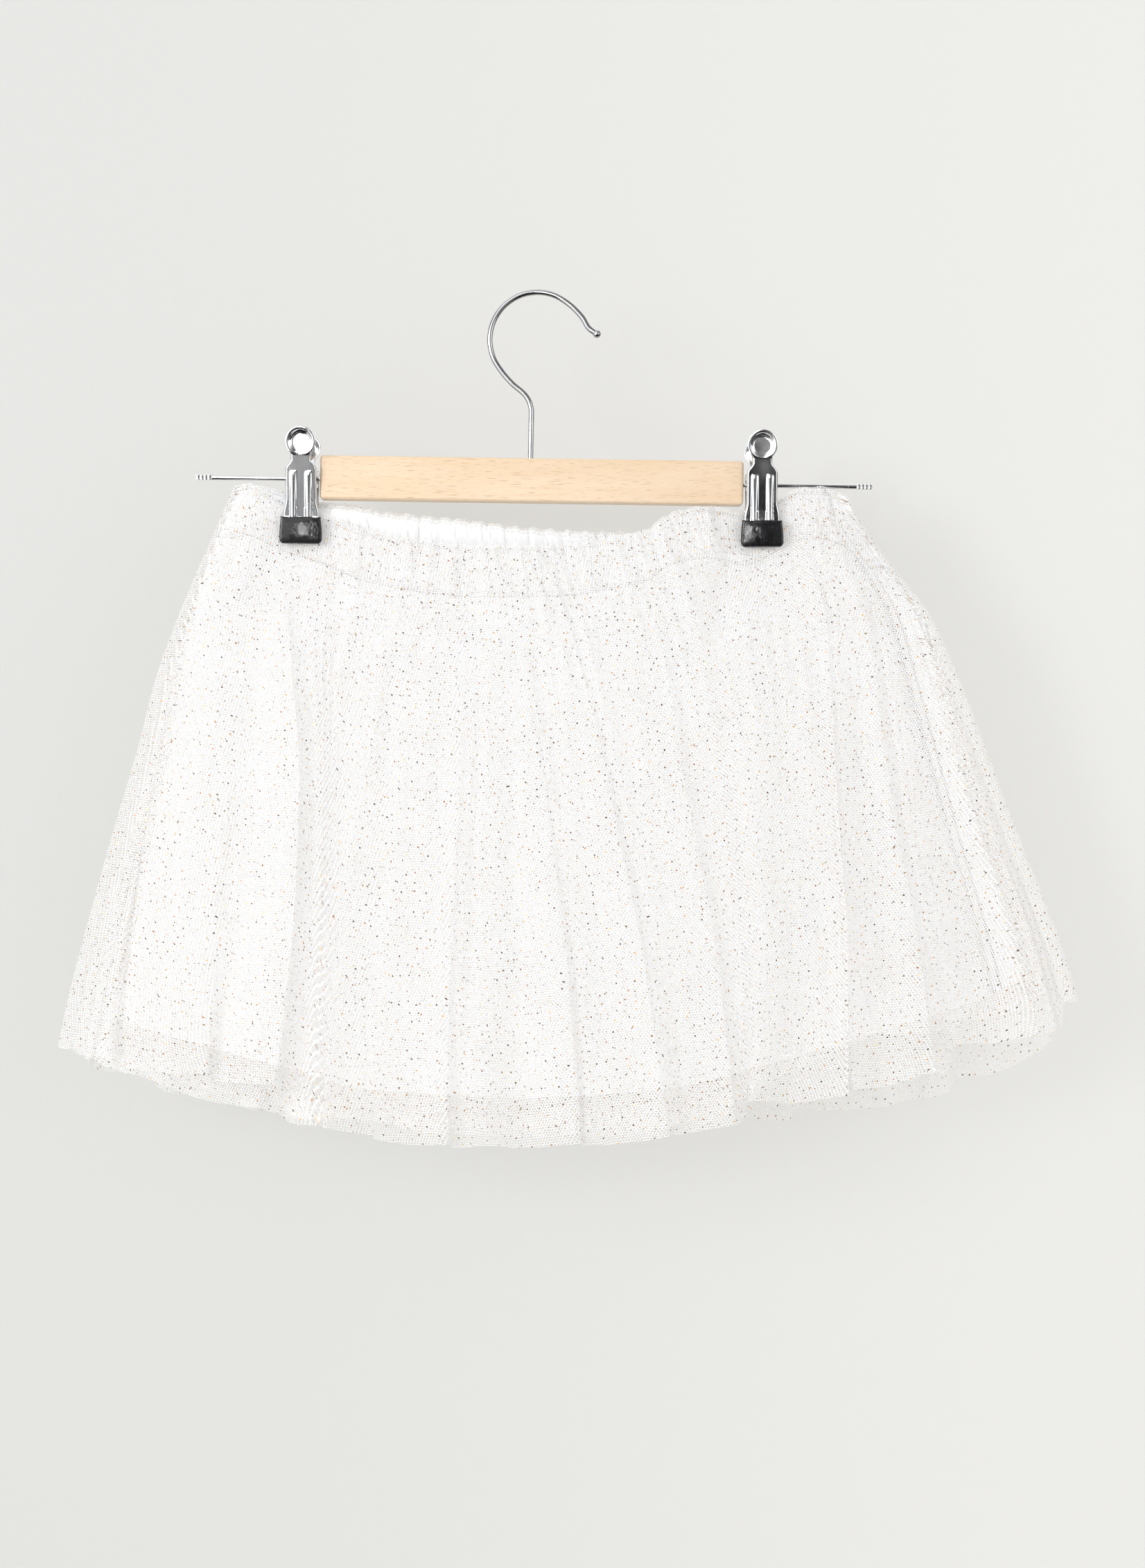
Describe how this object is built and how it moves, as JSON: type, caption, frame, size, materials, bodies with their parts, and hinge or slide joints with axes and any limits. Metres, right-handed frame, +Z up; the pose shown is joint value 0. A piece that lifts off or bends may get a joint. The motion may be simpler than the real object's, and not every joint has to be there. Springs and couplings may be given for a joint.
{
  "type": "tulle skirt on a clip hanger",
  "caption": "Short gathered skirt of layered glitter-dot tulle over a cotton lining, clipped flat to a wooden skirt hanger with a metal hook.",
  "frame": {"origin": "inner crown of the hanger's hook, where a rail carries it", "axes": "+X along the hanger to the right, -Y is the front of the skirt, +Z up"},
  "size_m": [0.5894, 0.1105, 0.4942],
  "materials": {
    "tulle": "off-white net with scattered copper and gold glitter dots",
    "cotton": "white plain-weave cotton, matte",
    "beech": "pale beech with a satin clear lacquer",
    "chrome": "polished chrome plate",
    "vinyl": "dipped black vinyl, glossy"
  },
  "bodies": {
    "root": {"tulle_outer_front": "tulle", "tulle_outer_back": "tulle", "tulle_inner_front": "tulle", "tulle_inner_back": "tulle", "lining_front": "cotton", "lining_back": "cotton", "waistband_front": "cotton", "waistband_back": "cotton", "hanger_bar": "beech", "hanger_hook": "chrome", "hanger_rod": "chrome", "clip_left_front": "chrome", "clip_left_back": "chrome", "clip_left_spring": "chrome", "clip_left_front_tip": "vinyl", "clip_left_back_tip": "vinyl", "clip_right_front": "chrome", "clip_right_back": "chrome", "clip_right_spring": "chrome", "clip_right_front_tip": "vinyl", "clip_right_back_tip": "vinyl"}
  },
  "joints": []
}
